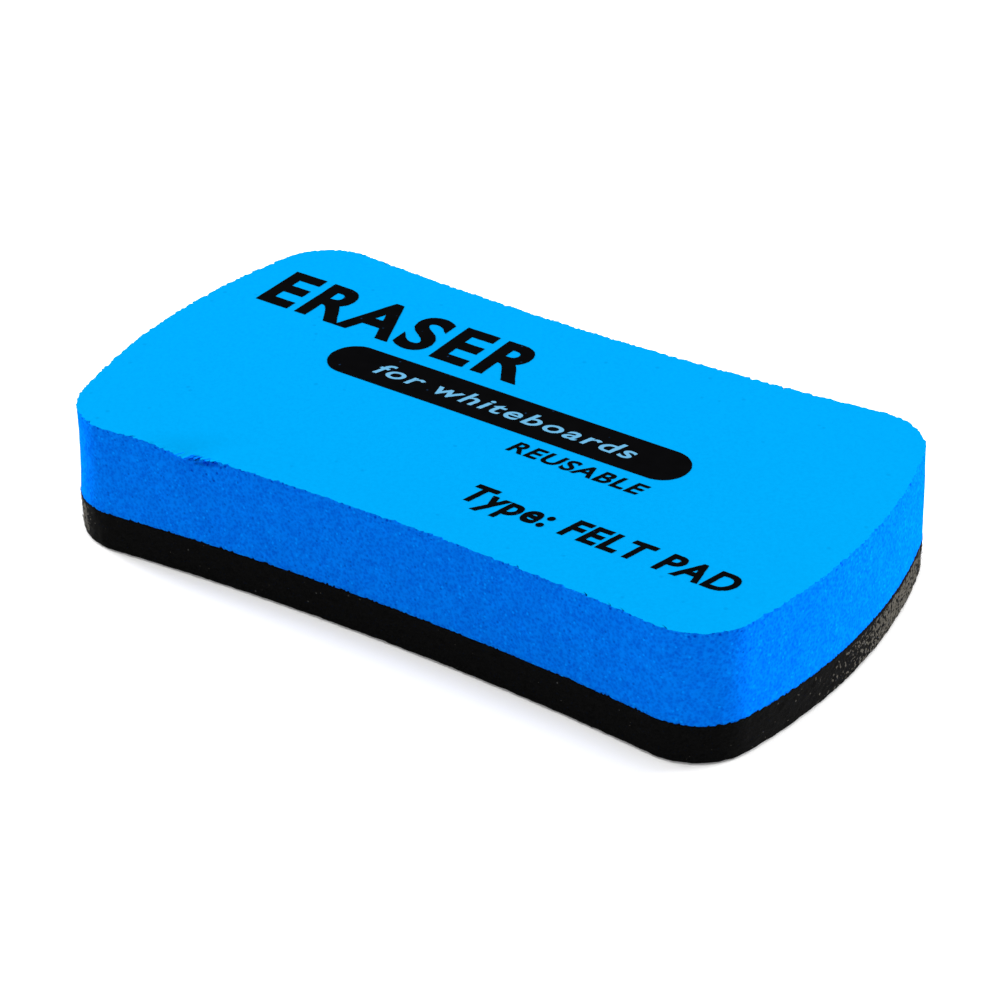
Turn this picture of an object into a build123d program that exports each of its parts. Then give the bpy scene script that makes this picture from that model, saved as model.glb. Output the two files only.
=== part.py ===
"""Magnetic foam eraser for whiteboards and chalkboards, in millimetres.

A block of coloured EVA foam is glued to a black felt wiping pad. Two ferrite discs sit in blind pockets
that open onto the glue line, so that the eraser holds itself to a steel-backed board through the felt.

Frame: +X along the eraser, +Y across it, +Z up. The origin is the middle of the felt's wiping face.
"""

import os

from build123d import *

# Outline of the top rim, seen from above: bowed ends, waisted long sides and round corners
LENGTH = 105.0  # over the middle of the bowed ends
CORNER_WIDTH = 58.4  # across the long sides where they would meet the ends, before rounding
WAIST_WIDTH = 52.9  # across the middle of the hollow long sides
END_BULGE = 5.3  # how far the middle of an end stands out past its corners
CORNER_RADIUS = 8.6

# Layers, from the board upwards
FELT_THICKNESS = 5.7
FILM_THICKNESS = 0.2
FILM_MARGIN = 0.6  # the melted film stops this far short of the felt's edge
FOAM_THICKNESS = 12.4
FELT_EDGE_RADIUS = 0.6  # wiping edge, softened by cutting and use
FOOT_SPREAD = 0.4  # how far the foam's foot, the film and the felt stand out past the rim

# Magnets and the pockets that hold them
MAGNET_RADIUS = 9.0
MAGNET_THICKNESS = 4.0
MAGNET_CHAMFER = 0.3
MAGNET_SPACING = 54.0  # centre to centre along X
POCKET_CLEARANCE = 0.3  # round the magnet
GLUE_THICKNESS = 0.3  # between the magnet and its pocket's ceiling
GLUE_RADIUS = 7.5

FILM_LEVEL = FELT_THICKNESS
FOAM_LEVEL = FILM_LEVEL + FILM_THICKNESS
TOP_LEVEL = FOAM_LEVEL + FOAM_THICKNESS
POCKET_DEPTH = MAGNET_THICKNESS + GLUE_THICKNESS
SIDES = {"left": -MAGNET_SPACING / 2, "right": MAGNET_SPACING / 2}


def eraser_outline(level, spread=0.0):
    """The rim's outline at a height, pushed out by spread all round."""
    end = LENGTH / 2 + spread
    corner_x = end - END_BULGE
    corner_y = CORNER_WIDTH / 2 + spread
    waist_y = WAIST_WIDTH / 2 + spread
    with BuildSketch(Plane.XY.offset(level)) as outline:
        with BuildLine():
            ThreePointArc((-corner_x, -corner_y), (0, -waist_y), (corner_x, -corner_y))
            ThreePointArc((corner_x, -corner_y), (end, 0), (corner_x, corner_y))
            ThreePointArc((corner_x, corner_y), (0, waist_y), (-corner_x, corner_y))
            ThreePointArc((-corner_x, corner_y), (-end, 0), (-corner_x, -corner_y))
        make_face()
        fillet(outline.vertices(), radius=CORNER_RADIUS + spread)
    return outline.sketch


def make_foam_body():
    """The grip: one foam block, slightly wider at its foot, with two blind magnet pockets underneath."""
    with BuildPart() as foam:
        loft([eraser_outline(FOAM_LEVEL, FOOT_SPREAD), eraser_outline(TOP_LEVEL)])
        with BuildSketch(Plane.XY.offset(FOAM_LEVEL)):
            with Locations(*((x, 0) for x in SIDES.values())):
                Circle(MAGNET_RADIUS + POCKET_CLEARANCE)
        extrude(amount=POCKET_DEPTH, mode=Mode.SUBTRACT)
    return foam.part


def make_adhesive_film():
    """The hot-melt film that bonds the pad to the foam and closes the magnet pockets."""
    with BuildPart() as film:
        add(eraser_outline(FILM_LEVEL, FOOT_SPREAD - FILM_MARGIN))
        extrude(amount=FILM_THICKNESS)
    return film.part


def make_felt_pad():
    """The needle-felt wiping pad, with its lower edge rounded."""
    with BuildPart() as pad:
        add(eraser_outline(0, FOOT_SPREAD))
        extrude(amount=FELT_THICKNESS)
        fillet(pad.faces().sort_by(Axis.Z)[0].edges(), radius=FELT_EDGE_RADIUS)
    return pad.part


def make_magnet(x):
    """A ferrite disc, chamfered at both rims, resting on the film."""
    with BuildPart() as magnet:
        with BuildSketch(Plane.XY.offset(FOAM_LEVEL)):
            with Locations((x, 0)):
                Circle(MAGNET_RADIUS)
        extrude(amount=MAGNET_THICKNESS)
        chamfer(magnet.edges().filter_by(GeomType.CIRCLE), length=MAGNET_CHAMFER)
    return magnet.part


def make_magnet_glue(x):
    """The flattened dab of glue that holds a magnet to its pocket's ceiling."""
    with BuildPart() as glue:
        with BuildSketch(Plane.XY.offset(FOAM_LEVEL + MAGNET_THICKNESS)):
            with Locations((x, 0)):
                Circle(GLUE_RADIUS)
        extrude(amount=GLUE_THICKNESS)
    return glue.part


def build_eraser():
    """Every piece of the eraser, by node name."""
    pieces = {
        "foam_body": make_foam_body(),
        "adhesive_film": make_adhesive_film(),
        "felt_pad": make_felt_pad(),
    }
    for side, x in SIDES.items():
        pieces[f"magnet_{side}"] = make_magnet(x)
        pieces[f"magnet_glue_{side}"] = make_magnet_glue(x)
    return pieces


os.makedirs("parts", exist_ok=True)
for name, piece in build_eraser().items():
    piece.label = name
    export_step(piece, f"parts/{name}.step")
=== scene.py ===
"""A magnetic foam eraser for boards, lying felt down on a pale floor.

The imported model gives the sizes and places. The foam block, the felt pad with its loose fibres and
the print are modelled here. The adhesive film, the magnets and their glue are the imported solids, with
finishes of their own.
"""

import math
import random

import bmesh
import bpy
from mathutils import Matrix, Vector, noise


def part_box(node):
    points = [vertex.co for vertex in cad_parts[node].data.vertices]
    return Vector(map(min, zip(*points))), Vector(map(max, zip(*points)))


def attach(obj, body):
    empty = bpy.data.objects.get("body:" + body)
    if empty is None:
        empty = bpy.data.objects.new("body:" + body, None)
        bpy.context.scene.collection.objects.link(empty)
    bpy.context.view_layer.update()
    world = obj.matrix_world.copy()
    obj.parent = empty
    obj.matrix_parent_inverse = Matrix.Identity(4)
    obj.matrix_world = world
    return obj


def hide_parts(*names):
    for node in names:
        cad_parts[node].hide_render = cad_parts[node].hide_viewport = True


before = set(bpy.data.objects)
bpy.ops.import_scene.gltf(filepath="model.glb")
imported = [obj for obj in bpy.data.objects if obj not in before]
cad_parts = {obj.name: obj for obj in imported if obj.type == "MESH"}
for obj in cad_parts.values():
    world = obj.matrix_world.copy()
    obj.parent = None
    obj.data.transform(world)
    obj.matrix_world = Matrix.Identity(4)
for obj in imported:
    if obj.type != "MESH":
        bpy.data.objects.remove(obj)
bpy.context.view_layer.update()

MM = 0.001

# Outline of the top rim, in metres, as the die cuts it
END_BULGE = 5.3 * MM  # how far the middle of an end stands out past its corners
WAIST_HOLLOW = 2.75 * MM  # how far the middle of a long side lies inside its corners
CORNER_RADIUS = 8.6 * MM
SHARP_CORNER_WIDTH = 58.4 * MM  # across the long sides, where they would meet the ends unrounded
FOOT_SPREAD = 0.4 * MM  # how far the foot stands out past the rim
OUTLINE_STEP = 0.26 * MM  # between two points along the outline

# Levels and pockets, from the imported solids
FOAM_LOW, FOAM_HIGH = (Vector(corner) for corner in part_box("foam_body"))
FELT_LOW, FELT_HIGH = (Vector(corner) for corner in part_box("felt_pad"))
RIM_LENGTH = FOAM_HIGH.x - FOAM_LOW.x - 2 * FOOT_SPREAD
POCKET_CLEARANCE = 0.3 * MM
SEAM_DROP = 0.15 * MM  # of the foam's foot, pressed down over the edge of the film
SEAM_SAG = 0.5 * MM  # how much lower the seam runs at the ends
SEAM_TILT = 0.02  # and towards the back
POCKET_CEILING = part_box("magnet_glue_left")[1][2]

# Foam surface
WALL_ROWS = 46
CELL_SIZE = 0.55 * MM  # of the foam's open cells
CELL_DEPTH = 0.06 * MM
CELL_FALLOFF = 1.9  # how fast a cell gets shallower from its middle out
WAVE_SIZE = 7.0 * MM  # of the wall's slow unevenness
WAVE_DEPTH = 0.10 * MM
RIM_FRAY = 0.22 * MM
RIM_FRAY_LENGTH = 0.42 * MM  # of the rim's fine teeth
RIM_WAVE_LENGTH = 0.9 * MM  # of its fainter, longer ones
RIM_CHIPS = 0.50 * MM  # how far in the opened cells nick the rim
RIM_CHIP_LENGTH = 0.5 * MM
LEFT_HOLLOW = 0.15 * MM  # the wall is a little hollow towards the left end
TOP_RINGS = (0.6, 1.1, 1.9, 3.2, 5.2, 8.0, 12.0, 17.0, 22.0)  # millimetres in from the rim

# The place in the front rim where a crumb has broken out
CRUMB_X = -28.2 * MM
CRUMB_SLOPES = (6.5 * MM, 4.5 * MM)  # from its left end down, and from there up to its right end
CRUMB_DEPTH = 0.45 * MM
CRUMB_LIP = 0.60 * MM  # how far the skin laps over the wall there
CRUMB_WIDTH = 4.5 * MM  # how far it reaches into the skin
CRUMB_ROUGH_WIDTH = 0.5 * MM  # how far in from the rim it is ragged
CRUMB_ROUGH_SIZE = 0.8 * MM  # of its ragged shapes
CRUMB_HEIGHT = 1.3 * MM  # how far down the wall it is felt
TEAR_X = -25.6 * MM  # the wall is torn just under its right lip
TEAR_SIZE = Vector((4.2 * MM, 1.1 * MM))
TEAR_DEPTH = 0.85 * MM
TEAR_GRAIN = (0.55 * MM, 0.25 * MM)  # of its coarse and its fine raggedness
TEAR_MIDDLE = Vector((-25.6, -27.2, 17.9)) * MM
TORN = 0.15  # the skin is gone where the tear is deeper than this share

# Felt
FELT_EDGE_RADIUS = 0.6 * MM
FELT_ROWS = 18
FELT_CORNER_ROWS = 4
FELT_ROUGHNESS = 0.10 * MM
FELT_STRAND = 1.1 * MM  # length of its tangled strands
FELT_FLATNESS = 2.6  # how many times longer than high they lie
FELT_LIP = 0.55 * MM  # of felt round the melted film, where felt and foam meet
FELT_LIP_FRAY = 0.40 * MM
FELT_LIP_TOOTH = 0.36 * MM  # length of the teeth along it
FELT_PROUD = 0.05 * MM  # how far the lip stands out past the foam's foot
SEAM_SHADE_AND_SHELTER = 1.4  # how well the foam's foot keeps the painted sheen and the dust off the felt's upper edge, as its shade and its shelter do
FIBRE_BATCHES = 65
FIBRE_BATCH = 80
FIBRE_LENGTH = (0.5 * MM, 1.7 * MM)
FIBRE_RADIUS = 0.014 * MM
FIBRE_STAND = 0.16  # how steeply the steepest one stands out
FIBRE_TILT = 0.35  # how far they tilt up and down
FIBRE_SINK = 0.02 * MM  # of their roots into the felt
FIBRE_RISE = 0.1 * MM  # how far one may lie over the seam

# Painted sheen of the grazing light, with some caught dust, at the felt's ends, and painted shade in
# deeper cut cells of the foam: a place or a level, how far from it they show at all, and how far from it
# they are full
RIGHT_DUST_AND_SHEEN = (Vector((53, 13, 3)) * MM, 44 * MM, 5 * MM)
LEFT_DUST_AND_SHEEN = (Vector((-47.6, -25.8, 3.5)) * MM, 6.4 * MM, 2.6 * MM)
TEAR_CUT_SHADE = (TEAR_MIDDLE, 3.2 * MM, 0.8 * MM)
RIM_CUT_SHADE = (FOAM_HIGH.z, 0.9 * MM, 0.2 * MM)

# Print
INK_LIFT = 0.03 * MM
PRINT_TURN = math.radians(-1.3)
INK_FRAY = 0.05 * MM
INK_FRAY_LENGTH = 0.45 * MM
INK_EDGE = 0.5 * MM  # a longer straight edge is cut up, so that it can fray
CAPITAL_SHARE = 0.73  # height of a capital in the built-in typeface, for a size of 1

# Camera
CAMERA_AZIMUTH = math.radians(33.486)
CAMERA_ELEVATION = math.radians(32.078)
CAMERA_ROLL = math.radians(-0.496)
CAMERA_AIM = Vector((2.733, -3.167, 9.0)) * MM
CAMERA_DISTANCE = 371.96 * MM
CAMERA_LENS = 104.93

# Light, each box as its azimuth and elevation in degrees, its distance and size in metres, and its watts
SOFTBOXES = {
    "overhead box": (0, 88, 1.2, 1.0, 16.5),
    "right box": (142, 14, 0.9, 0.4, 12.5),
    "left box": (-97, 13, 0.9, 0.3, 13.5),
}
SURROUND = 0.10
FLOOR_GLOW = 0.2


# ---------------------------------------------------------------- outline


def quarter_arcs(spread):
    """The right back quarter of the outline as three arcs: (centre, radius, first angle, last angle)."""
    end = RIM_LENGTH / 2 + spread
    corner = Vector((end - END_BULGE, SHARP_CORNER_WIDTH / 2 + spread))
    waist = corner.y - WAIST_HOLLOW
    radius = CORNER_RADIUS + spread
    end_radius = (END_BULGE**2 + corner.y**2) / (2 * END_BULGE)
    side_radius = (WAIST_HOLLOW**2 + corner.x**2) / (2 * WAIST_HOLLOW)
    end_centre = Vector((end - end_radius, 0))
    side_centre = Vector((0, waist + side_radius))

    # The corner's circle lies inside the end's circle and outside the side's
    apart = side_centre - end_centre
    reach, side_reach = end_radius - radius, side_radius + radius
    along = (reach**2 - side_reach**2 + apart.length_squared) / (2 * apart.length)
    across = math.sqrt(reach**2 - along**2)
    axis = apart.normalized()
    choices = [end_centre + along * axis + sign * across * axis.orthogonal() for sign in (-1, 1)]
    centre = min(choices, key=lambda point: (point - corner).length)

    touch_end = (centre - end_centre).normalized()
    touch_side = (side_centre - centre).normalized()
    end_angle = math.atan2(touch_end.y, touch_end.x)
    side_angle = math.atan2(touch_side.y, touch_side.x)
    return [
        (end_centre, end_radius, 0, end_angle),
        (centre, radius, end_angle, side_angle),
        (side_centre, side_radius, side_angle - math.pi, -math.pi / 2),
    ]


def arc_length(arc):
    """The length of an arc given as (centre, radius, first angle, last angle)."""
    _, radius, first, last = arc
    return radius * abs(last - first)


def point_along(arcs, distance):
    """The point at a distance along a chain of arcs."""
    at = 0
    while at < len(arcs) - 1 and distance > arc_length(arcs[at]):
        distance -= arc_length(arcs[at])
        at += 1
    centre, radius, first, last = arcs[at]
    angle = first + (last - first) * distance / arc_length(arcs[at])
    return centre + radius * Vector((math.cos(angle), math.sin(angle)))


def outline(spread, count):
    """The closed outline as evenly spaced points, counter-clockwise from the middle of the right end."""
    arcs = quarter_arcs(spread)
    step = 4 * sum(arc_length(arc) for arc in arcs) / count
    quarter = [point_along(arcs, i * step) for i in range(count // 4 + 1)]
    back = quarter + [Vector((-p.x, p.y)) for p in reversed(quarter[:-1])]
    return back + [Vector((p.x, -p.y)) for p in reversed(back[1:-1])]


def outline_count():
    """How many points go round, a whole number for each quarter."""
    return 4 * round(sum(arc_length(arc) for arc in quarter_arcs(0)) / OUTLINE_STEP)


def ring_placer(count):
    """A function that lays a ring of vertices on the outline at a spread and a level."""
    known = {}

    def place(verts, spread, level):
        if spread not in known:
            known[spread] = outline(spread, count)
        for vert, point in zip(verts, known[spread]):
            vert.co = (point.x, point.y, level)

    return place


def extrude_ring(bm, verts):
    """Extrudes a closed ring of vertices and returns the new ring in the same order."""
    edges = [bm.edges.get(pair) for pair in zip(verts, verts[1:] + verts[:1])]
    made = bmesh.ops.extrude_edge_only(bm, edges=edges)["geom"]
    new = {item for item in made if isinstance(item, bmesh.types.BMVert)}
    return [next(e.other_vert(v) for e in v.link_edges if e.other_vert(v) in new) for v in verts]


def seam_level(point):
    """The height of the seam between foam and felt at a point of the outline."""
    sag = SEAM_SAG * (abs(point.x) / FOAM_HIGH.x) ** 8
    return FOAM_LOW.z - SEAM_DROP - sag - SEAM_TILT * max(0, point.y)


def start_ring(bm, count):
    """A closed ring of count vertices, in order."""
    return bmesh.ops.create_circle(bm, cap_ends=False, segments=count, radius=1)["verts"]


# ---------------------------------------------------------------- foam


def cell_pits(point):
    """How deep the open cells are at a point, from 0 to 1."""
    near = noise.voronoi(point / CELL_SIZE)[0]
    return max(0.0, 1 - near[0] * CELL_FALLOFF)


def slow_wave(point):
    """The wall's slow unevenness at a point, from about -1 to 1."""
    return noise.noise(point / WAVE_SIZE) + 0.45 * noise.noise(point / WAVE_SIZE * 3.1)


def crumb_at(point, from_rim):
    """How strongly the broken crumb pulls at a point that far in from the rim, from 0 to 1."""
    if point.y > 0 or from_rim > CRUMB_WIDTH:
        return 0.0
    away = point.x - CRUMB_X
    along = max(0.0, 1 - abs(away) / CRUMB_SLOPES[away > 0])
    rough = 0.22 * noise.noise(point / CRUMB_ROUGH_SIZE) * max(0, 1 - from_rim / CRUMB_ROUGH_WIDTH)
    return max(0.0, along + rough * min(1, 4 * along)) * (1 - from_rim / CRUMB_WIDTH)


def tear_at(point):
    """How deep the wall is torn under the crumb's lip, from 0 to 1."""
    away = Vector(((point.x - TEAR_X) / TEAR_SIZE.x, (FOAM_HIGH.z - point.z) / TEAR_SIZE.y))
    if point.y > 0 or away.length_squared > 1:
        return 0.0
    coarse, fine = (noise.noise(point / size) for size in TEAR_GRAIN)
    rough = coarse + 0.6 * fine
    return max(0.0, min(1.0, 0.35 + 2.2 * rough)) * (1 - away.length_squared)


def sink_crumb(vert, out):
    """Sinks a vertex of the wall or the rim where the crumb has broken out, less further down."""
    reach = max(0, 1 - (FOAM_HIGH.z - vert.co.z) / CRUMB_HEIGHT)
    crumb, tear = crumb_at(vert.co, 0) * reach, tear_at(vert.co)
    down = Vector((0, 0, CRUMB_DEPTH * crumb))
    vert.co += out * (CRUMB_LIP * crumb * reach - TEAR_DEPTH * tear) - down


def roughen_wall(verts, normals):
    """Gives the cut wall its open cells, slow unevenness, hollow at the left end and crumb."""
    height = FOAM_HIGH.z - FOAM_LOW.z
    for vert in verts:
        point = vert.co.copy()
        swell = math.sin(math.pi * min(1, max(0, (point.z - FOAM_LOW.z) / height)))
        out = normals[vert]
        sink_crumb(vert, out)
        hollow = LEFT_HOLLOW * max(0, -point.x / FOAM_HIGH.x) * swell
        vert.co += out * (WAVE_DEPTH * slow_wave(point) * swell - CELL_DEPTH * cell_pits(point) - hollow)


def outward(verts):
    """The level outward direction at each vertex of a ring."""
    found = {}
    for i, vert in enumerate(verts):
        along = verts[(i + 1) % len(verts)].co - verts[i - 1].co
        found[vert] = Vector((along.y, -along.x, 0)).normalized()
    return found


def fray_rim(verts, normals):
    """Frays the die-cut top rim, where opened cells nick the skin."""
    for vert in verts:
        point = vert.co.copy()
        fray = 0.25 * noise.noise(point / RIM_WAVE_LENGTH) + noise.noise(point / RIM_FRAY_LENGTH)
        nick = max(0.0, noise.noise(point / RIM_CHIP_LENGTH + Vector((9, 4, 2))) - 0.1)
        vert.co += normals[vert] * (RIM_FRAY * fray - RIM_CHIPS * nick)


def make_pocket(bm, node):
    """A blind round pocket round a magnet, opening downwards. Returns the edges of its mouth."""
    low, high = (Vector(corner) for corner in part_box(node))
    middle = (low + high) / 2
    radius = (high.x - low.x) / 2 + POCKET_CLEARANCE
    mouth = bmesh.ops.create_circle(bm, cap_ends=False, segments=72, radius=radius)["verts"]
    bmesh.ops.translate(bm, verts=mouth, vec=(middle.x, middle.y, FOAM_LOW.z))
    mouth_edges = [bm.edges.get(pair) for pair in zip(mouth, mouth[1:] + mouth[:1])]
    ceiling = extrude_ring(bm, mouth)
    bmesh.ops.translate(bm, verts=ceiling, vec=(0, 0, POCKET_CEILING - FOAM_LOW.z))
    bm.faces.new(ceiling)
    return mouth_edges


def choose_finish(bm, wall_faces, rim):
    """Gives each face of the foam its finish: 1 for cut or torn foam, 0 for the skin."""
    edge_faces = {face for vert in rim for face in vert.link_faces}
    for face in bm.faces:
        face.smooth = True
        middle = face.calc_center_median()
        cut = face in wall_faces or middle.z < FOAM_HIGH.z - 2 * MM
        torn = face in edge_faces and tear_at(middle) > TORN
        face.material_index = 1 if cut or torn else 0


def make_foam():
    """The foam block: a rough cut wall, a frayed rim, a smooth skin and two pockets underneath."""
    bm = bmesh.new()
    count = outline_count()
    place = ring_placer(count)
    ring = start_ring(bm, count)
    place(ring, FOOT_SPREAD - FELT_LIP, FOAM_LOW.z)
    foot_edges = list(bm.edges)
    wall, normals = [], {}
    for row in range(WALL_ROWS + 1):
        ring = extrude_ring(bm, ring)
        share = row / WALL_ROWS
        place(ring, FOOT_SPREAD * (1 - share), 0)
        for vert in ring:
            seam = seam_level(vert.co)
            vert.co.z = seam + share * (FOAM_HIGH.z - seam)
        normals.update(outward(ring))
        wall += ring
    rim = ring
    wall_faces = set(bm.faces)
    roughen_wall(wall, normals)
    fray_rim(rim, normals)

    for inset in TOP_RINGS:
        shrink = 1 - inset * MM / FOAM_HIGH.y
        ring = extrude_ring(bm, ring)
        for vert, edge in zip(ring, outline(0, count)):
            vert.co = (edge.x * shrink, edge.y * shrink, FOAM_HIGH.z)
            vert.co.z -= CRUMB_DEPTH * crumb_at(vert.co, inset * MM)
    bm.faces.new(ring)
    for pair in zip(rim, rim[1:] + rim[:1]):
        bm.edges.get(pair).smooth = False

    mouths = [edge for node in ("magnet_left", "magnet_right") for edge in make_pocket(bm, node)]
    bmesh.ops.triangle_fill(bm, edges=foot_edges + mouths, use_beauty=True)
    bmesh.ops.recalc_face_normals(bm, faces=bm.faces)
    choose_finish(bm, wall_faces, rim)
    return finish_mesh(bm, "foam_block")


# ---------------------------------------------------------------- felt


def felt_profile():
    """The felt's side from its rounded lower edge up: (spread, level) of each ring."""
    rings = []
    for step in range(FELT_CORNER_ROWS + 1):
        angle = math.pi / 2 * step / FELT_CORNER_ROWS
        spread = FOOT_SPREAD - FELT_EDGE_RADIUS * (1 - math.sin(angle))
        rings.append((spread, FELT_LOW.z + FELT_EDGE_RADIUS * (1 - math.cos(angle))))
    straight = FELT_HIGH.z - FELT_LOW.z - FELT_EDGE_RADIUS
    for row in range(1, FELT_ROWS + 1):
        rings.append((FOOT_SPREAD, FELT_LOW.z + FELT_EDGE_RADIUS + straight * row / FELT_ROWS))
    return rings


def close_top(bm, ring, place):
    """Brings the felt's upper edge to the seam, frayed and kept dark in the shade of the foam's foot,
    free of painted sheen and dustings, and closes the pad's top.
    """
    seam_shade_and_shelter = bm.verts.layers.float["SeamShadeAndShelter"]
    for vert in ring:
        vert[seam_shade_and_shelter] = SEAM_SHADE_AND_SHELTER / 2
    ring = extrude_ring(bm, ring)
    place(ring, FOOT_SPREAD + FELT_PROUD, 0)
    for vert in ring:
        vert[seam_shade_and_shelter] = SEAM_SHADE_AND_SHELTER
        spot = Vector((vert.co.x, vert.co.y, 0)) / FELT_LIP_TOOTH
        fray = noise.noise(spot) + 0.5 * noise.noise(spot * 2.3)
        vert.co.z = seam_level(vert.co) + FELT_LIP_FRAY * fray
    ring = extrude_ring(bm, ring)
    place(ring, FOOT_SPREAD - FELT_LIP, FELT_HIGH.z)
    bm.faces.new(ring)


def felt_nap(point):
    """The felt's tangled surface at a point: mostly level strands, from about -1 to 1."""
    strand = Vector((point.x, point.y, point.z * FELT_FLATNESS)) / FELT_STRAND
    return noise.noise(strand) + 0.5 * noise.noise(strand * 2.7)


def make_felt():
    """The felt pad, with a rounded wiping edge and a tangled surface."""
    bm = bmesh.new()
    bm.verts.layers.float.new("SeamShadeAndShelter")
    count = outline_count()
    place = ring_placer(count)
    profile = felt_profile()
    bottom = ring = start_ring(bm, count)
    place(ring, *profile[0])
    rings = [ring]
    for spread, level in profile[1:]:
        ring = extrude_ring(bm, ring)
        place(ring, spread, level)
        rings.append(ring)
    close_top(bm, ring, place)
    for ring in rings[1:]:
        normals = outward(ring)
        for vert in ring:
            vert.co.z *= (seam_level(vert.co) - FELT_LIP_FRAY) / FELT_HIGH.z
            vert.co += normals[vert] * FELT_ROUGHNESS * felt_nap(vert.co)
    ring = bottom
    for inset in TOP_RINGS:
        shrink = 1 - inset * MM / FELT_HIGH.y
        ring = extrude_ring(bm, ring)
        for vert, edge in zip(ring, outline(profile[0][0], count)):
            vert.co = (edge.x * shrink, edge.y * shrink, FELT_LOW.z)
            vert.co.z += FELT_ROUGHNESS * (0.5 + 0.5 * noise.noise(vert.co / FELT_STRAND))
    bm.faces.new(ring)
    bmesh.ops.recalc_face_normals(bm, faces=bm.faces)
    for face in bm.faces:
        face.smooth = True
    return finish_mesh(bm, "felt_block")


def add_fibre(bm, root, direction, length, bend):
    """One loose fibre: a three-sided strand of two lengths that comes to a point."""
    side = direction.orthogonal().normalized()
    turn = Matrix.Rotation(2 * math.pi / 3, 3, direction)
    strand = bmesh.ops.create_circle(bm, cap_ends=False, segments=3, radius=FIBRE_RADIUS)["verts"]
    for vert in strand:
        vert.co = root + side * FIBRE_RADIUS
        side = turn @ side
    middle = extrude_ring(bm, strand)
    bmesh.ops.translate(bm, verts=middle, vec=direction * length * 0.5 + bend * length * 0.12)
    tip = extrude_ring(bm, middle)
    bmesh.ops.translate(bm, verts=tip, vec=direction * length * 0.5 + bend * length * 0.45)
    bmesh.ops.pointmerge(bm, verts=tip, merge_co=sum((v.co for v in tip), Vector()) / 3)


def fibre_batch(draw, points):
    """A mesh of one batch of loose fibres, which stand out of the felt's side and lie on it."""
    bm = bmesh.new()
    for _ in range(FIBRE_BATCH):
        at = draw.randrange(len(points))
        here, there = points[at], points[(at + 1) % len(points)]
        along = Vector((there.x - here.x, there.y - here.y, 0)).normalized()
        out = Vector((along.y, -along.x, 0))
        level = draw.uniform(FELT_LOW.z + FELT_EDGE_RADIUS, seam_level(here.to_3d()))
        lean = draw.choice((-1, 1)) * along + out * draw.uniform(0.0, FIBRE_STAND)
        lean += Vector((0, 0, draw.gauss(0, FIBRE_TILT)))
        bend = Vector((draw.gauss(0, 1), draw.gauss(0, 1), draw.gauss(0, 0.6))).normalized() - out * 0.5
        root = Vector((here.x, here.y, level)) - out * FIBRE_SINK
        add_fibre(bm, root, lean.normalized(), draw.uniform(*FIBRE_LENGTH), bend)
    bmesh.ops.recalc_face_normals(bm, faces=bm.faces)
    mesh = bpy.data.meshes.new("batch")
    bm.to_mesh(mesh)
    bm.free()
    return mesh


def make_fibres():
    """All the loose fibres of the felt's side."""
    bm = bmesh.new()
    draw = random.Random(11)
    points = outline(FOOT_SPREAD, outline_count())
    for _ in range(FIBRE_BATCHES):
        mesh = fibre_batch(draw, points)
        bm.from_mesh(mesh)
        bpy.data.meshes.remove(mesh)
    for vert in bm.verts:
        ceiling = seam_level(vert.co) + FIBRE_RISE
        vert.co.z = min(max(vert.co.z, FELT_LOW.z + FIBRE_RADIUS), ceiling)
    return finish_mesh(bm, "felt_fibres")


def finish_mesh(bm, name):
    """Turns a bmesh into a linked object of that name."""
    mesh = bpy.data.meshes.new(name)
    bm.to_mesh(mesh)
    bm.free()
    piece = bpy.data.objects.new(name, mesh)
    bpy.context.scene.collection.objects.link(piece)
    return piece


# ---------------------------------------------------------------- print


def text_outline(words, height, boldness, slant, spacing):
    """Words in the built-in typeface as a flat curve object, with capitals of that height."""
    curve = bpy.data.curves.new("words", "FONT")
    curve.body = words
    curve.size = height / CAPITAL_SHARE
    curve.offset = boldness
    curve.shear = slant
    curve.space_character = spacing
    curve.resolution_u = 6
    holder = bpy.data.objects.new("words", curve)
    bpy.context.scene.collection.objects.link(holder)
    return holder


def flat_mesh(holder):
    """The filled mesh of a flat curve object, which is removed."""
    mesh = bpy.data.meshes.new_from_object(holder.evaluated_get(bpy.context.evaluated_depsgraph_get()))
    data = holder.data
    bpy.data.objects.remove(holder)
    bpy.data.curves.remove(data)
    return mesh


def fit_print(mesh, name, left, bottom, width, height, layer=1):
    """Lays a flat mesh on the foam's top inside a box given in millimetres, turned as the print is."""
    bm = bmesh.new()
    bm.from_mesh(mesh)
    bpy.data.meshes.remove(mesh)
    bmesh.ops.remove_doubles(bm, verts=bm.verts, dist=0.002 * MM)
    xs, ys = [v.co.x for v in bm.verts], [v.co.y for v in bm.verts]
    stretch = (width * MM / (max(xs) - min(xs)), height * MM / (max(ys) - min(ys)), 1)
    bmesh.ops.translate(bm, verts=bm.verts, vec=(-min(xs), -min(ys), 0))
    bmesh.ops.scale(bm, verts=bm.verts, vec=stretch)
    level = FOAM_HIGH.z + layer * INK_LIFT
    bmesh.ops.translate(bm, verts=bm.verts, vec=(left * MM, bottom * MM, level))
    turn = Matrix.Rotation(PRINT_TURN, 3, "Z")
    bmesh.ops.rotate(bm, verts=bm.verts, cent=(0, 0, 0), matrix=turn)
    long_edges = [e for e in bm.edges if e.is_boundary and e.calc_length() > INK_EDGE]
    bmesh.ops.subdivide_edges(bm, edges=long_edges, cuts=5)
    for vert in bm.verts:
        if vert.is_boundary:
            spot = vert.co / INK_FRAY_LENGTH
            vert.co.x += INK_FRAY * noise.noise(spot)
            vert.co.y += INK_FRAY * noise.noise(spot + Vector((0, 0, 7)))
    bmesh.ops.triangulate(bm, faces=bm.faces)
    for face in bm.faces:
        if face.normal.z < 0:
            face.normal_flip()
    return finish_mesh(bm, name)


def make_words(name, words, box, boldness, slant, spacing, layer=1):
    """A printed line of generic words inside a box of (left, bottom, width, height), in millimetres."""
    holder = text_outline(words, box[3] * MM, boldness * MM, slant, spacing)
    return fit_print(flat_mesh(holder), name, *box, layer)


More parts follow.
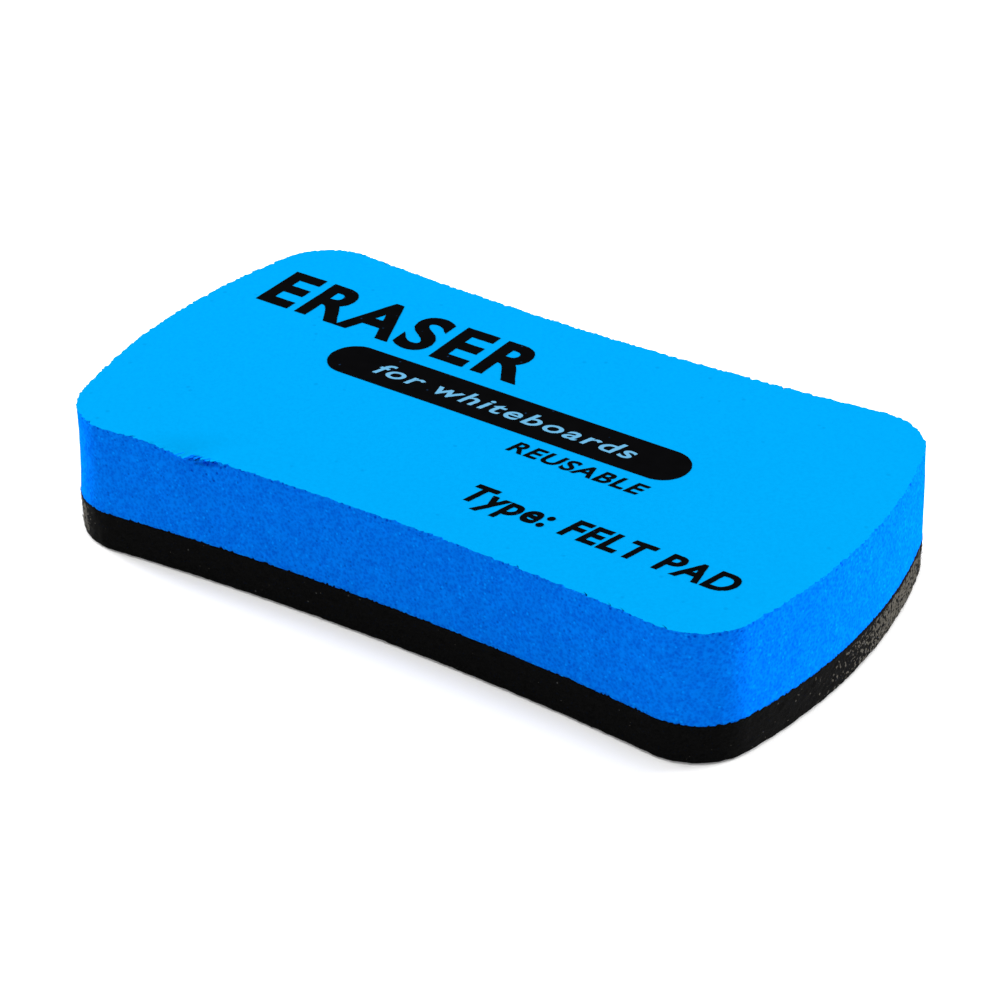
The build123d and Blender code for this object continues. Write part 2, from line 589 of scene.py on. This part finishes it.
def make_bar(name, left, bottom, width, height):
    """A plain bar with round ends, in millimetres."""
    bm = bmesh.new()
    strip = bmesh.ops.create_grid(bm, x_segments=1, y_segments=1, size=0.5)["verts"]
    bmesh.ops.scale(bm, verts=strip, vec=(width * MM, height * MM, 1))
    round_end = height * MM * 0.499
    bmesh.ops.bevel(
        bm, geom=strip, affect="VERTICES", offset=round_end, segments=14, profile=0.5, material=-1
    )
    mesh = bpy.data.meshes.new("bar")
    bm.to_mesh(mesh)
    bm.free()
    return fit_print(mesh, name, left, bottom, width, height)


def make_print():
    """The printed pieces: the black ones, and the pale words on the bar."""
    black = [
        make_words("print_heading", "ERASER", (-46.0, 8.8, 43.0, 9.6), 0.45, 0.0, 1.14),
        make_bar("print_bar", -28.0, -1.0, 55.0, 7.4),
        make_words("print_label", "REUSABLE", (5.0, -5.2, 20.0, 2.7), 0.11, 0.25, 1.12),
        make_words("print_type", "Type: FELT PAD", (7.0, -19.0, 38.0, 5.4), 0.26, 0.25, 1.10),
    ]
    note_box = (-20.5, 1.3, 40.0, 2.9)
    pale = make_words("print_note", "for whiteboards", note_box, 0.06, 0.25, 1.15, layer=2)
    return black, pale


# ---------------------------------------------------------------- material groups


def socket(group, name, kind, out=False, value=None):
    """Adds a named socket to a node group."""
    made = group.interface.new_socket(name, in_out="OUTPUT" if out else "INPUT", socket_type=kind)
    if value is not None:
        made.default_value = value
    return made


def new_group(name, inputs, outputs):
    """A shader node group with its input and output nodes."""
    group = bpy.data.node_groups.new(name, "ShaderNodeTree")
    for title, kind, value in inputs:
        socket(group, title, kind, value=value)
    for title, kind in outputs:
        socket(group, title, kind, out=True)
    return group, group.nodes.new("NodeGroupInput"), group.nodes.new("NodeGroupOutput")


def math_node(nodes, operation, **values):
    """A Math node; values are a, b or c, each a number."""
    node = nodes.new("ShaderNodeMath")
    node.operation = operation
    for key, value in values.items():
        node.inputs["abc".index(key)].default_value = value
    return node


def mix_colours(nodes, mode="MIX"):
    """A Mix node set to colours, and its factor, first, second and result sockets."""
    node = nodes.new("ShaderNodeMix")
    node.data_type = "RGBA"
    node.blend_type = mode
    return node.inputs[0], node.inputs[6], node.inputs[7], node.outputs[2]


def grain_group():
    """Foam grain: a mask of cell pits and fine mottling, and a height, at a cell size in millimetres."""
    group, given, result = new_group(
        "Foam Grain",
        [("Cell Size", "NodeSocketFloat", 0.5), ("Pit Share", "NodeSocketFloat", 0.5)],
        [("Mask", "NodeSocketFloat"), ("Height", "NodeSocketFloat")],
    )
    nodes, link = group.nodes, group.links.new
    place = nodes.new("ShaderNodeTexCoord").outputs["Object"]
    scale = math_node(nodes, "DIVIDE", a=1000.0)
    link(given.outputs["Cell Size"], scale.inputs[1])
    cells = nodes.new("ShaderNodeTexVoronoi")
    cells.feature = "SMOOTH_F1"
    cells.inputs["Smoothness"].default_value = 0.5
    fine = nodes.new("ShaderNodeTexNoise")
    fine.inputs["Detail"].default_value = 4.0
    fine.inputs["Roughness"].default_value = 0.65
    for texture in (cells, fine):
        link(place, texture.inputs["Vector"])
        link(scale.outputs[0], texture.inputs["Scale"])
    blend = nodes.new("ShaderNodeMix")
    link(given.outputs["Pit Share"], blend.inputs[0])
    link(fine.outputs["Fac"], blend.inputs[2])
    link(cells.outputs["Distance"], blend.inputs[3])
    link(blend.outputs[0], result.inputs["Height"])
    spread = nodes.new("ShaderNodeMapRange")
    spread.inputs["From Min"].default_value = 0.33
    spread.inputs["From Max"].default_value = 0.60
    link(blend.outputs[0], spread.inputs["Value"])
    link(spread.outputs["Result"], result.inputs["Mask"])
    return group


def speck_group():
    """Scattered specks: a mask that is 1 on them, for a size in millimetres and a share from 0 to 1."""
    group, given, result = new_group(
        "Specks",
        [("Size", "NodeSocketFloat", 0.3), ("Share", "NodeSocketFloat", 0.02)],
        [("Mask", "NodeSocketFloat")],
    )
    nodes, link = group.nodes, group.links.new
    scale = math_node(nodes, "DIVIDE", a=1000.0)
    link(given.outputs["Size"], scale.inputs[1])
    cells = nodes.new("ShaderNodeTexVoronoi")
    link(nodes.new("ShaderNodeTexCoord").outputs["Object"], cells.inputs["Vector"])
    link(scale.outputs[0], cells.inputs["Scale"])
    pick = nodes.new("ShaderNodeSeparateColor")
    link(cells.outputs["Color"], pick.inputs[0])
    chosen = math_node(nodes, "LESS_THAN")
    link(pick.outputs[0], chosen.inputs[0])
    link(given.outputs["Share"], chosen.inputs[1])
    near = nodes.new("ShaderNodeMapRange")
    near.inputs["From Min"].default_value = 0.45
    near.inputs["From Max"].default_value = 0.2
    link(cells.outputs["Distance"], near.inputs["Value"])
    both = math_node(nodes, "MULTIPLY")
    link(chosen.outputs[0], both.inputs[0])
    link(near.outputs["Result"], both.inputs[1])
    link(both.outputs[0], result.inputs["Mask"])
    return group


def dust_and_sheen_group():
    """Dust and painted sheen in a nap: a speckled mask that fills in as its share goes from 0 to 1."""
    group, given, result = new_group(
        "Dust And Painted Sheen",
        [("Size", "NodeSocketFloat", 0.3), ("Share", "NodeSocketFloat", 0.5)],
        [("Mask", "NodeSocketFloat")],
    )
    nodes, link = group.nodes, group.links.new
    scale = math_node(nodes, "DIVIDE", a=1000.0)
    link(given.outputs["Size"], scale.inputs[1])
    fine = nodes.new("ShaderNodeTexNoise")
    fine.inputs["Detail"].default_value = 1.0
    link(nodes.new("ShaderNodeTexCoord").outputs["Object"], fine.inputs["Vector"])
    link(scale.outputs[0], fine.inputs["Scale"])
    level = nodes.new("ShaderNodeMapRange")
    level.inputs["To Min"].default_value = 0.77
    level.inputs["To Max"].default_value = 0.42
    link(given.outputs["Share"], level.inputs["Value"])
    above = math_node(nodes, "SUBTRACT")
    link(fine.outputs["Fac"], above.inputs[0])
    link(level.outputs["Result"], above.inputs[1])
    mask = math_node(nodes, "MULTIPLY", b=22.0)
    mask.use_clamp = True
    link(above.outputs[0], mask.inputs[0])
    link(mask.outputs[0], result.inputs["Mask"])
    return group


def cloud_group():
    """Slow clouds of tone: a value from 0 to 1 that changes over a size in millimetres."""
    group, given, result = new_group(
        "Tone Clouds", [("Size", "NodeSocketFloat", 12.0)], [("Value", "NodeSocketFloat")]
    )
    nodes, link = group.nodes, group.links.new
    scale = math_node(nodes, "DIVIDE", a=1000.0)
    link(given.outputs["Size"], scale.inputs[1])
    clouds = nodes.new("ShaderNodeTexNoise")
    clouds.inputs["Detail"].default_value = 3.0
    link(nodes.new("ShaderNodeTexCoord").outputs["Object"], clouds.inputs["Vector"])
    link(scale.outputs[0], clouds.inputs["Scale"])
    link(clouds.outputs["Fac"], result.inputs["Value"])
    return group


GRAIN, SPECKS, DUST_AND_SHEEN, CLOUDS = grain_group(), speck_group(), dust_and_sheen_group(), cloud_group()


def use_group(material, group, **values):
    """Places a group in a material with its own values, and returns its outputs."""
    node = material.node_tree.nodes.new("ShaderNodeGroup")
    node.node_tree = group
    for name, value in values.items():
        node.inputs[name.replace("_", " ")].default_value = value
    return node.outputs


# ---------------------------------------------------------------- materials


def new_material(name, roughness, specular):
    """A material with its Principled shader, given its constant values."""
    material = bpy.data.materials.new(name)
    material.use_nodes = True
    shader = material.node_tree.nodes["Principled BSDF"]
    shader.inputs["Roughness"].default_value = roughness
    shader.inputs["Specular IOR Level"].default_value = specular
    return material, shader


def tone(material, factor, dark, light):
    """A colour between two tones."""
    amount, first, second, result = mix_colours(material.node_tree.nodes)
    first.default_value, second.default_value = (*dark, 1), (*light, 1)
    material.node_tree.links.new(factor, amount)
    return result


def over(material, mask, below, above):
    """A colour laid over another where the mask is 1."""
    amount, first, second, result = mix_colours(material.node_tree.nodes)
    material.node_tree.links.new(mask, amount)
    material.node_tree.links.new(below, first)
    second.default_value = (*above, 1)
    return result


def add_bump(material, shader, height, strength, distance):
    """Bump from a height, with its distance in millimetres."""
    bump = material.node_tree.nodes.new("ShaderNodeBump")
    bump.inputs["Strength"].default_value = strength
    bump.inputs["Distance"].default_value = distance * MM
    material.node_tree.links.new(height, bump.inputs["Height"])
    material.node_tree.links.new(bump.outputs["Normal"], shader.inputs["Normal"])


def near_place(material, place, reach, full):
    """How near the surface is to a place: 0 at its reach and beyond, 1 where it is full."""
    nodes, link = material.node_tree.nodes, material.node_tree.links.new
    away = nodes.new("ShaderNodeVectorMath")
    away.operation = "DISTANCE"
    away.inputs[1].default_value = place
    link(nodes.new("ShaderNodeTexCoord").outputs["Object"], away.inputs[0])
    near = nodes.new("ShaderNodeMapRange")
    near.inputs["From Min"].default_value = reach
    near.inputs["From Max"].default_value = full
    link(away.outputs["Value"], near.inputs["Value"])
    return near.outputs["Result"]


def near_level(material, level, reach, full):
    """How near the surface is to a level from below: 0 at its reach and beyond, 1 where it is full."""
    nodes, link = material.node_tree.nodes, material.node_tree.links.new
    place = nodes.new("ShaderNodeSeparateXYZ")
    link(nodes.new("ShaderNodeTexCoord").outputs["Object"], place.inputs[0])
    near = nodes.new("ShaderNodeMapRange")
    near.inputs["From Min"].default_value = level - reach
    near.inputs["From Max"].default_value = level - full
    link(place.outputs["Z"], near.inputs["Value"])
    return near.outputs["Result"]


def foam_skin():
    """The smooth, finely mottled skin on top of the foam."""
    material, shader = new_material("foam skin", 0.9, 0.0)
    grain = use_group(material, GRAIN, Cell_Size=0.5, Pit_Share=0.25)
    # The skin's tones are lighter and greener than the cut side's: partly the real difference of skin
    # and open cells, partly painted light for the top's brighter light.
    colour = tone(material, grain["Mask"], (0.0002, 0.236, 0.560), (0.0002, 0.252, 0.585))
    specks = use_group(material, SPECKS, Size=0.8, Share=0.012)
    colour = over(material, specks["Mask"], colour, (0.0002, 0.214, 0.52))
    material.node_tree.links.new(colour, shader.inputs["Base Color"])
    add_bump(material, shader, grain["Height"], 0.2, 0.05)
    return material


def foam_cut():
    """The open-celled cut side of the foam, with painted shade of deeper cut cells just under the rim
    and where it is torn.
    """
    material, shader = new_material("foam cut", 0.95, 0.0)
    grain = use_group(material, GRAIN, Cell_Size=0.42, Pit_Share=0.4)
    clouds = use_group(material, CLOUDS, Size=2.2)
    # The cut side's tones are darker and deeper blue than the skin's: partly the open cells' own colour,
    # partly painted shade for the sides' weaker light.
    colour = tone(material, grain["Mask"], (0.0002, 0.116, 0.735), (0.0002, 0.200, 0.90))
    amount, first, second, result = mix_colours(material.node_tree.nodes, "MULTIPLY")
    amount.default_value = 1.0
    material.node_tree.links.new(colour, first)
    shade = tone(material, clouds["Value"], (0.80, 0.80, 0.88), (1.2, 1.2, 1.12))
    material.node_tree.links.new(shade, second)
    specks = use_group(material, SPECKS, Size=0.52, Share=0.09)
    result = over(material, specks["Mask"], result, (0.0002, 0.27, 0.98))
    pits = use_group(material, SPECKS, Size=0.42, Share=0.035)
    result = over(material, pits["Mask"], result, (0.0002, 0.09, 0.60))
    # Painted shade: darker blue specks stand for the shade in deeper cut cells just under the rim and in
    # the tear.
    cut_shade = math_node(material.node_tree.nodes, "MAXIMUM")
    material.node_tree.links.new(near_level(material, *RIM_CUT_SHADE), cut_shade.inputs[0])
    material.node_tree.links.new(near_place(material, *TEAR_CUT_SHADE), cut_shade.inputs[1])
    share = math_node(material.node_tree.nodes, "MULTIPLY", b=0.4)
    material.node_tree.links.new(cut_shade.outputs[0], share.inputs[0])
    cuts = use_group(material, SPECKS, Size=0.55)
    material.node_tree.links.new(share.outputs[0], cuts["Mask"].node.inputs["Share"])
    result = over(material, cuts["Mask"], result, (0.0002, 0.055, 0.52))
    material.node_tree.links.new(result, shader.inputs["Base Color"])
    add_bump(material, shader, grain["Height"], 0.5, 0.10)
    return material


def felt_black():
    """Black needle felt, with a grey bloom at a shallow angle and pale speckles at two places, partly
    painted sheen of the grazing side light and partly chalk dustings caught in the nap.
    """
    material, shader = new_material("black felt", 1.0, 0.02)
    link = material.node_tree.links.new
    grain = use_group(material, GRAIN, Cell_Size=0.3, Pit_Share=0.15)
    colour = tone(material, grain["Mask"], (0.0022, 0.0022, 0.0022), (0.0045, 0.0045, 0.0045))
    specks = use_group(material, SPECKS, Size=0.35, Share=0.003)
    colour = over(material, specks["Mask"], colour, (0.05, 0.05, 0.047))
    # Painted sheen of the grazing side light at the felt's two ends, with some caught dust: pale
    # speckles that fill in towards each place.
    share = math_node(material.node_tree.nodes, "MAXIMUM")
    link(near_place(material, *RIGHT_DUST_AND_SHEEN), share.inputs[0])
    link(near_place(material, *LEFT_DUST_AND_SHEEN), share.inputs[1])
    steeper = math_node(material.node_tree.nodes, "POWER", b=2.0)
    link(share.outputs[0], steeper.inputs[0])
    # Painted shade: the felt's upper edge under the foam's foot is kept free of the painted sheen and of
    # dust.
    seam_shade_and_shelter = material.node_tree.nodes.new("ShaderNodeAttribute")
    seam_shade_and_shelter.attribute_name = "SeamShadeAndShelter"
    kept = math_node(material.node_tree.nodes, "SUBTRACT")
    link(steeper.outputs[0], kept.inputs[0])
    link(seam_shade_and_shelter.outputs["Fac"], kept.inputs[1])
    dust_and_sheen = use_group(material, DUST_AND_SHEEN, Size=0.48)
    link(kept.outputs[0], dust_and_sheen["Mask"].node.inputs["Share"])
    colour = over(material, dust_and_sheen["Mask"], colour, (0.080, 0.074, 0.062))
    link(colour, shader.inputs["Base Color"])
    shader.inputs["Sheen Weight"].default_value = 0.02
    shader.inputs["Sheen Roughness"].default_value = 0.35
    shader.inputs["Sheen Tint"].default_value = (0.95, 0.95, 0.92, 1)
    add_bump(material, shader, grain["Height"], 0.7, 0.15)
    return material


def loose_fibre():
    """Dark grey fibres, some of them paler."""
    material, shader = new_material("loose fibre", 0.9, 0.03)
    clouds = use_group(material, CLOUDS, Size=1.2)
    colour = tone(material, clouds["Value"], (0.0015, 0.0015, 0.0015), (0.012, 0.012, 0.0115))
    material.node_tree.links.new(colour, shader.inputs["Base Color"])
    return material


def ink_black():
    """Black screen ink with pinholes where the foam shows."""
    material, shader = new_material("screen ink", 0.8, 0.0)
    clouds = use_group(material, CLOUDS, Size=2.0)
    colour = tone(material, clouds["Value"], (0.0014, 0.0014, 0.0015), (0.0024, 0.0024, 0.0028))
    specks = use_group(material, SPECKS, Size=0.45, Share=0.012)
    colour = over(material, specks["Mask"], colour, (0.006, 0.02, 0.05))
    material.node_tree.links.new(colour, shader.inputs["Base Color"])
    grain = use_group(material, GRAIN, Cell_Size=0.5, Pit_Share=0.25)
    add_bump(material, shader, grain["Height"], 0.2, 0.05)
    return material


def ink_pale():
    """Pale blue screen ink."""
    material, shader = new_material("pale ink", 0.8, 0.0)
    clouds = use_group(material, CLOUDS, Size=2.0)
    colour = tone(material, clouds["Value"], (0.085, 0.27, 0.44), (0.11, 0.31, 0.48))
    material.node_tree.links.new(colour, shader.inputs["Base Color"])
    return material


def hot_melt():
    """Yellowish, slightly cloudy hot-melt glue."""
    material, shader = new_material("hot melt glue", 0.35, 0.5)
    clouds = use_group(material, CLOUDS, Size=4.0)
    colour = tone(material, clouds["Value"], (0.45, 0.38, 0.22), (0.62, 0.56, 0.38))
    material.node_tree.links.new(colour, shader.inputs["Base Color"])
    add_bump(material, shader, clouds["Value"], 0.2, 0.1)
    return material


def ferrite():
    """Dark sintered ferrite with fine grain and pale chips."""
    material, shader = new_material("sintered ferrite", 0.55, 0.5)
    grain = use_group(material, GRAIN, Cell_Size=0.25, Pit_Share=0.3)
    colour = tone(material, grain["Mask"], (0.018, 0.018, 0.02), (0.035, 0.035, 0.038))
    specks = use_group(material, SPECKS, Size=0.7, Share=0.02)
    colour = over(material, specks["Mask"], colour, (0.09, 0.09, 0.095))
    material.node_tree.links.new(colour, shader.inputs["Base Color"])
    add_bump(material, shader, grain["Height"], 0.3, 0.05)
    return material


def floor_white():
    """The pale floor, lit a little from within as a light table is."""
    material, shader = new_material("pale floor", 0.9, 0.0)
    clouds = use_group(material, CLOUDS, Size=300.0)
    colour = tone(material, clouds["Value"], (0.84, 0.84, 0.84), (0.86, 0.86, 0.86))
    material.node_tree.links.new(colour, shader.inputs["Base Color"])
    shader.inputs["Emission Color"].default_value = (1, 1, 1, 1)
    shader.inputs["Emission Strength"].default_value = FLOOR_GLOW
    return material


def paint(piece, *materials):
    """Gives a piece its materials, slot by slot: clearing the slots would lose each face's choice."""
    slots = piece.data.materials
    for at, material in enumerate(materials):
        if at < len(slots):
            slots[at] = material
        else:
            slots.append(material)


# ---------------------------------------------------------------- stage


def make_floor():
    """A wide pale floor just under the eraser."""
    bm = bmesh.new()
    bmesh.ops.create_grid(bm, x_segments=2, y_segments=2, size=3.0)
    bmesh.ops.translate(bm, verts=bm.verts, vec=(0, 0, -0.02 * MM))
    floor = finish_mesh(bm, "floor")
    paint(floor, floor_white())


def direction_from(azimuth, elevation):
    """The direction from the eraser to an azimuth, 0 for the front and 90 degrees for the right."""
    level = math.cos(elevation)
    return Vector((math.sin(azimuth) * level, -math.cos(azimuth) * level, math.sin(elevation)))


def add_softbox(name, azimuth, elevation, distance, size, energy):
    """A square soft box aimed at the eraser."""
    light = bpy.data.lights.new(name, "AREA")
    light.shape = "SQUARE"
    light.size = size
    light.energy = energy
    holder = bpy.data.objects.new(name, light)
    back = direction_from(math.radians(azimuth), math.radians(elevation))
    holder.location = back * distance
    holder.rotation_euler = back.to_track_quat("Z", "Y").to_euler()
    bpy.context.scene.collection.objects.link(holder)


def light_stage():
    """The soft boxes, a large one overhead and two low ones at the sides, and a pale surround."""
    for name, box in SOFTBOXES.items():
        add_softbox(name, *box)
    world = bpy.data.worlds.new("surround")
    world.use_nodes = True
    world.node_tree.nodes["Background"].inputs["Color"].default_value = (1, 1, 1, 1)
    world.node_tree.nodes["Background"].inputs["Strength"].default_value = SURROUND
    bpy.context.scene.world = world
    bpy.context.scene.view_settings.view_transform = "Standard"


def make_camera():
    """A long lens from the front right, looking down."""
    camera = bpy.data.cameras.new("camera")
    camera.lens = CAMERA_LENS
    camera.sensor_width = 36.0
    camera.clip_start, camera.clip_end = 0.01, 20.0
    holder = bpy.data.objects.new("camera", camera)
    back = direction_from(CAMERA_AZIMUTH, CAMERA_ELEVATION)
    spot = Matrix.Translation(CAMERA_AIM + back * CAMERA_DISTANCE)
    turn = Matrix.Rotation(CAMERA_AZIMUTH, 4, "Z")
    turn = turn @ Matrix.Rotation(math.pi / 2 - CAMERA_ELEVATION, 4, "X")
    holder.matrix_world = spot @ turn @ Matrix.Rotation(CAMERA_ROLL, 4, "Z")
    bpy.context.scene.collection.objects.link(holder)
    bpy.context.scene.camera = holder


# ---------------------------------------------------------------- assembly


def place_piece(piece, slot, *nodes):
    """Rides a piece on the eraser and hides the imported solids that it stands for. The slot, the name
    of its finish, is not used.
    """
    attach(piece, "root")
    if nodes:
        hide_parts(*nodes)
    return piece


def build():
    """Every piece of the eraser, with its finish."""
    foam = place_piece(make_foam(), "blue_foam", "foam_body")
    paint(foam, foam_skin(), foam_cut())
    felt = place_piece(make_felt(), "black_felt", "felt_pad")
    paint(felt, felt_black())
    fibres = place_piece(make_fibres(), "black_felt")
    paint(fibres, loose_fibre())
    black, pale = make_print()
    ink = ink_black()
    for line in black:
        paint(place_piece(line, None), ink)
    paint(place_piece(pale, None), ink_pale())
    glue, magnet = hot_melt(), ferrite()
    for name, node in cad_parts.items():
        if name.startswith("magnet_glue") or name == "adhesive_film":
            paint(node, glue)
        elif name.startswith("magnet"):
            paint(node, magnet)


build()
make_floor()
light_stage()
make_camera()

bpy.context.view_layer.update()
